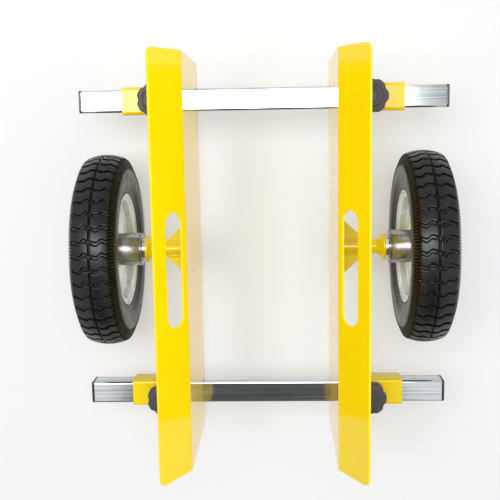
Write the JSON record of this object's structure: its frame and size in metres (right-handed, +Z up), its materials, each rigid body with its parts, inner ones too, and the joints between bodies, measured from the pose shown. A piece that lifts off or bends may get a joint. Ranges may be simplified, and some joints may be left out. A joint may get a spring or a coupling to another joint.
{
  "type": "drywall cart",
  "caption": "Panel dolly with flanged yellow side plates that slide and clamp on square crossbars, between large pneumatic wheels; carries boards on edge.",
  "frame": {"origin": "on the floor, under the middle of the cart", "axes": "+X across the cart along the crossbars and axles, +Y along the carried panel, +Z up"},
  "size_m": [0.66, 0.672, 0.4654],
  "materials": {
    "yellow_paint": "gloss powder coat",
    "zinc": "bright zinc plate",
    "rim_silver": "silver paint",
    "tyre_rubber": "moulded tread",
    "tube_rubber": "smooth",
    "cap_plastic": "moulded",
    "knob_plastic": "fine grain"
  },
  "bodies": {
    "crossbars": {"front_tube": "zinc", "rear_tube": "zinc", "left_front_cap": "cap_plastic", "left_rear_cap": "cap_plastic", "right_front_cap": "cap_plastic", "right_rear_cap": "cap_plastic"},
    "left_frame": {"left_side_plate": "yellow_paint", "left_front_sleeve": "yellow_paint", "left_rear_sleeve": "yellow_paint", "left_front_nut": "yellow_paint", "left_rear_nut": "yellow_paint", "left_axle": "yellow_paint", "left_gussets": "yellow_paint", "left_collar": "yellow_paint", "left_inner_washers": "zinc", "left_bearing_spacer": "zinc", "left_outer_washer": "zinc", "left_axle_nut": "zinc"},
    "left_wheel": {"left_tyre": "tyre_rubber", "left_inner_tube": "tube_rubber", "left_rim_inner": "rim_silver", "left_rim_outer": "rim_silver", "left_hub": "zinc", "left_inner_bearing": "zinc", "left_outer_bearing": "zinc", "left_valve": "tube_rubber", "left_valve_cap": "cap_plastic"},
    "right_frame": {"right_side_plate": "yellow_paint", "right_front_sleeve": "yellow_paint", "right_rear_sleeve": "yellow_paint", "right_front_nut": "yellow_paint", "right_rear_nut": "yellow_paint", "right_axle": "yellow_paint", "right_gussets": "yellow_paint", "right_collar": "yellow_paint", "right_inner_washers": "zinc", "right_bearing_spacer": "zinc", "right_outer_washer": "zinc", "right_axle_nut": "zinc"},
    "right_wheel": {"right_tyre": "tyre_rubber", "right_inner_tube": "tube_rubber", "right_rim_inner": "rim_silver", "right_rim_outer": "rim_silver", "right_hub": "zinc", "right_inner_bearing": "zinc", "right_outer_bearing": "zinc", "right_valve": "tube_rubber", "right_valve_cap": "cap_plastic"},
    "left_front_screw": {"left_front_screw": "zinc"},
    "left_front_knob": {"left_front_knob": "knob_plastic"},
    "left_rear_screw": {"left_rear_screw": "zinc"},
    "left_rear_knob": {"left_rear_knob": "knob_plastic"},
    "right_front_screw": {"right_front_screw": "zinc"},
    "right_front_knob": {"right_front_knob": "knob_plastic"},
    "right_rear_screw": {"right_rear_screw": "zinc"},
    "right_rear_knob": {"right_rear_knob": "knob_plastic"}
  },
  "joints": [
    {"name": "left_frame_slide", "type": "slide", "parent": "crossbars", "child": "left_frame", "axis": [1, 0, 0], "range_m": [-0.072, 0.118]},
    {"name": "left_wheel_spin", "type": "hinge", "parent": "left_frame", "child": "left_wheel", "pos_m": [-0.2875, 0, 0.175], "axis": [1, 0, 0], "continuous": true},
    {"name": "right_frame_slide", "type": "slide", "parent": "crossbars", "child": "right_frame", "axis": [1, 0, 0], "range_m": [-0.118, 0.072]},
    {"name": "right_wheel_spin", "type": "hinge", "parent": "right_frame", "child": "right_wheel", "pos_m": [0.2875, 0, 0.175], "axis": [1, 0, 0], "continuous": true},
    {"name": "left_front_screw_rise", "type": "slide", "parent": "left_frame", "child": "left_front_screw", "axis": [0, 0, 1], "range_m": [0, 0.0105]},
    {"name": "left_front_knob_turn", "type": "hinge", "parent": "left_front_screw", "child": "left_front_knob", "pos_m": [-0.187, -0.27, 0.232], "axis": [0, 0, 1], "range_deg": [0, 2160]},
    {"name": "left_rear_screw_rise", "type": "slide", "parent": "left_frame", "child": "left_rear_screw", "axis": [0, 0, 1], "range_m": [0, 0.0105]},
    {"name": "left_rear_knob_turn", "type": "hinge", "parent": "left_rear_screw", "child": "left_rear_knob", "pos_m": [-0.187, 0.27, 0.232], "axis": [0, 0, 1], "range_deg": [0, 2160]},
    {"name": "right_front_screw_rise", "type": "slide", "parent": "right_frame", "child": "right_front_screw", "axis": [0, 0, 1], "range_m": [0, 0.0105]},
    {"name": "right_front_knob_turn", "type": "hinge", "parent": "right_front_screw", "child": "right_front_knob", "pos_m": [0.187, -0.27, 0.232], "axis": [0, 0, 1], "range_deg": [0, 2160]},
    {"name": "right_rear_screw_rise", "type": "slide", "parent": "right_frame", "child": "right_rear_screw", "axis": [0, 0, 1], "range_m": [0, 0.0105]},
    {"name": "right_rear_knob_turn", "type": "hinge", "parent": "right_rear_screw", "child": "right_rear_knob", "pos_m": [0.187, 0.27, 0.232], "axis": [0, 0, 1], "range_deg": [0, 2160]}
  ],
  "couplings": [
    {"joint": "left_front_knob_turn", "follows": "left_front_screw_rise", "rad_per_m": 3590.4},
    {"joint": "left_rear_knob_turn", "follows": "left_rear_screw_rise", "rad_per_m": 3590.4},
    {"joint": "right_front_knob_turn", "follows": "right_front_screw_rise", "rad_per_m": 3590.4},
    {"joint": "right_rear_knob_turn", "follows": "right_rear_screw_rise", "rad_per_m": 3590.4}
  ]
}
